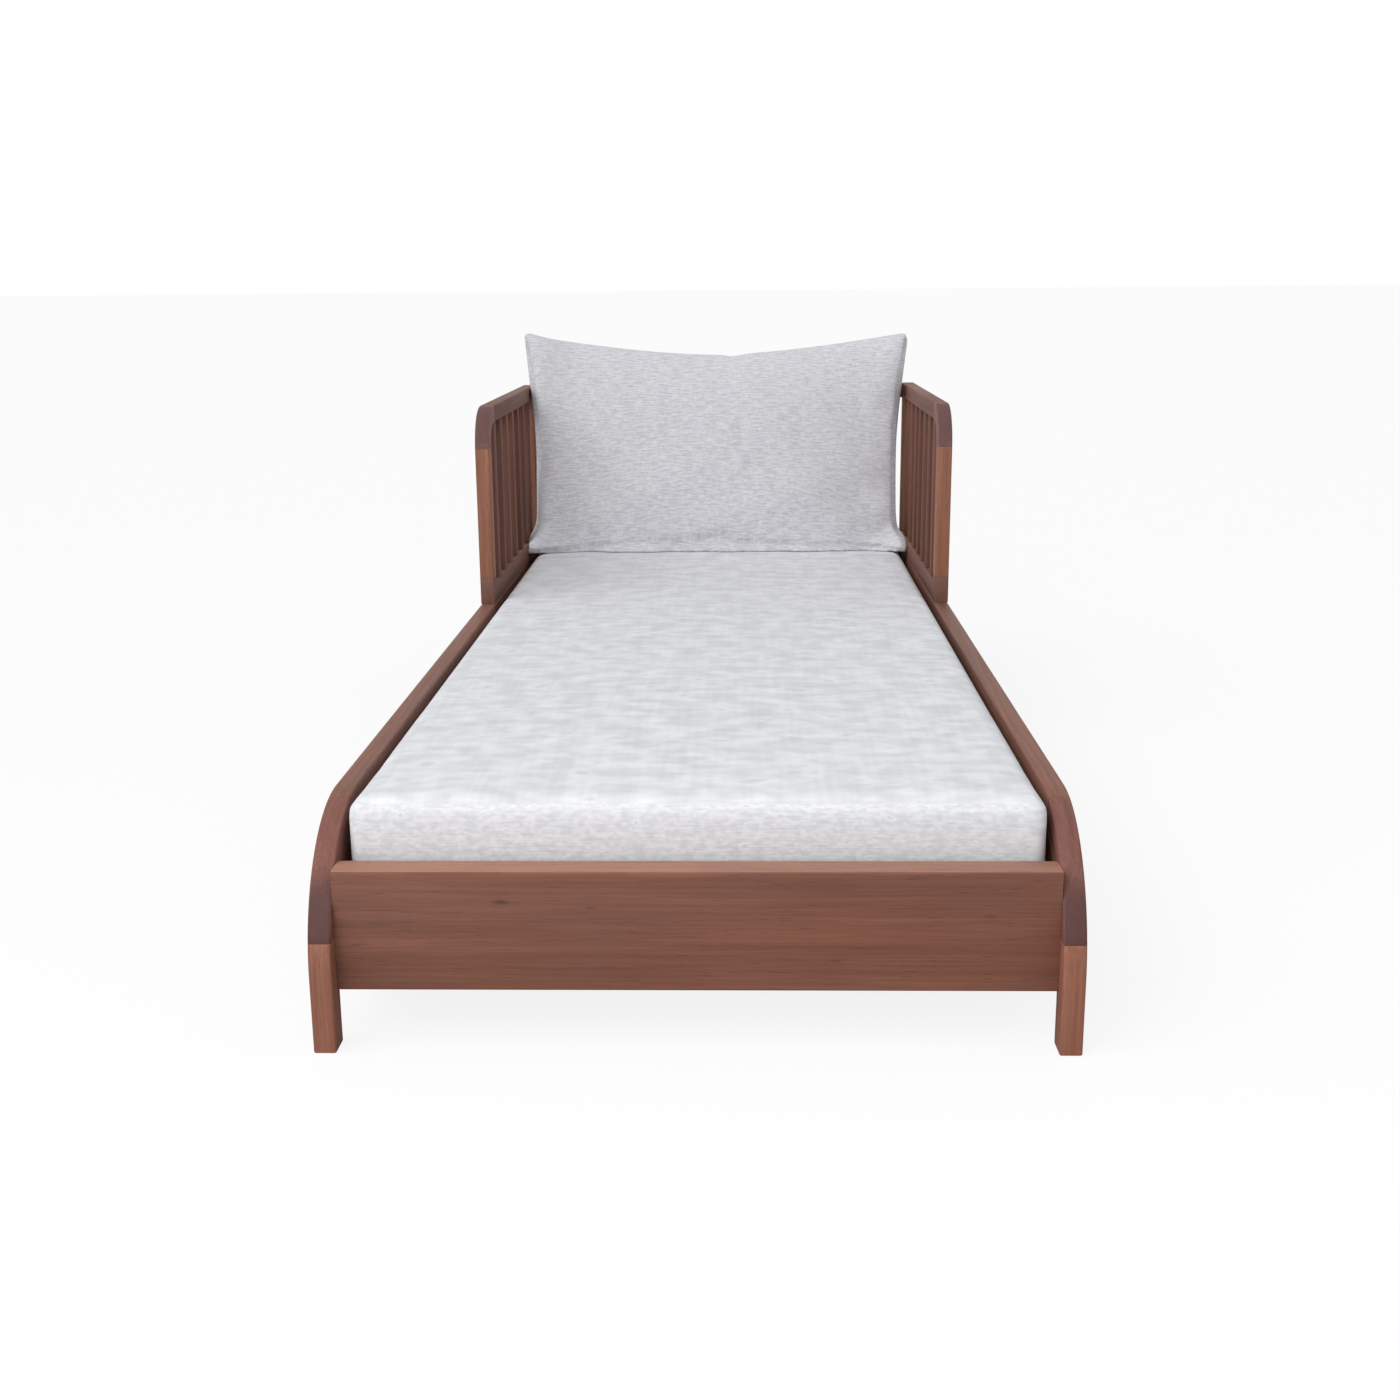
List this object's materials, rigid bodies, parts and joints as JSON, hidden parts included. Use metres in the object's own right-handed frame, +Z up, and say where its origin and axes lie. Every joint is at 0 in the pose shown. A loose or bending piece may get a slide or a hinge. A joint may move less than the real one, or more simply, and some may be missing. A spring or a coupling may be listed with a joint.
{
  "type": "outdoor daybed",
  "caption": "Low wooden daybed with rounded front corners, slatted arms and back at the head end, a foam mattress and a large back pillow.",
  "frame": {"origin": "on the floor, in the middle of the bed's length and width", "axes": "+X across the bed to the sitter's left, +Y towards the slatted head end, +Z up"},
  "size_m": [0.9, 2.1, 0.7579],
  "materials": {
    "leg_wood": "oiled, satin, straight grain",
    "corner_wood": "oiled, satin, darker heartwood",
    "rail_wood": "oiled, satin, straight grain",
    "board_wood": "oiled, satin, plain-sawn grain",
    "slat_wood": "oiled, satin",
    "deck_wood": "planed, unfinished",
    "dowel_wood": "plain beech",
    "fixing_steel": "stainless",
    "cushion_fabric": "slubby woven outdoor cloth, light grey heather"
  },
  "bodies": {
    "bedstead": {"front_leg_left": "leg_wood", "front_leg_right": "leg_wood", "corner_block_left": "corner_wood", "corner_block_right": "corner_wood", "side_rail_left": "rail_wood", "side_rail_right": "rail_wood", "side_board_left": "board_wood", "side_board_right": "board_wood", "rear_post_left": "leg_wood", "rear_post_right": "leg_wood", "front_board": "board_wood", "rear_board": "board_wood", "arm_post_left": "leg_wood", "arm_post_right": "leg_wood", "arm_corner_left": "corner_wood", "arm_corner_right": "corner_wood", "arm_top_rail_left": "rail_wood", "arm_top_rail_right": "rail_wood", "arm_bottom_rail_left": "rail_wood", "arm_bottom_rail_right": "rail_wood", "arm_slats_left": "slat_wood", "arm_slats_right": "slat_wood", "back_top_rail": "rail_wood", "back_bottom_rail": "rail_wood", "back_slats": "slat_wood", "slat_ledger_left": "deck_wood", "slat_ledger_right": "deck_wood", "deck_slats": "deck_wood", "frame_dowels": "dowel_wood", "board_bolts": "fixing_steel", "barrel_nuts": "fixing_steel", "ledger_screws": "fixing_steel", "deck_screws": "fixing_steel"},
    "mattress": {"mattress": "cushion_fabric"},
    "pillow": {"pillow": "cushion_fabric"}
  },
  "joints": [
    {"name": "mattress_lift", "type": "slide", "parent": "bedstead", "child": "mattress", "axis": [0, 0, 1], "range_m": [0, 0.5]},
    {"name": "pillow_lift", "type": "slide", "parent": "mattress", "child": "pillow", "axis": [0, 0, 1], "range_m": [0, 0.4]}
  ]
}
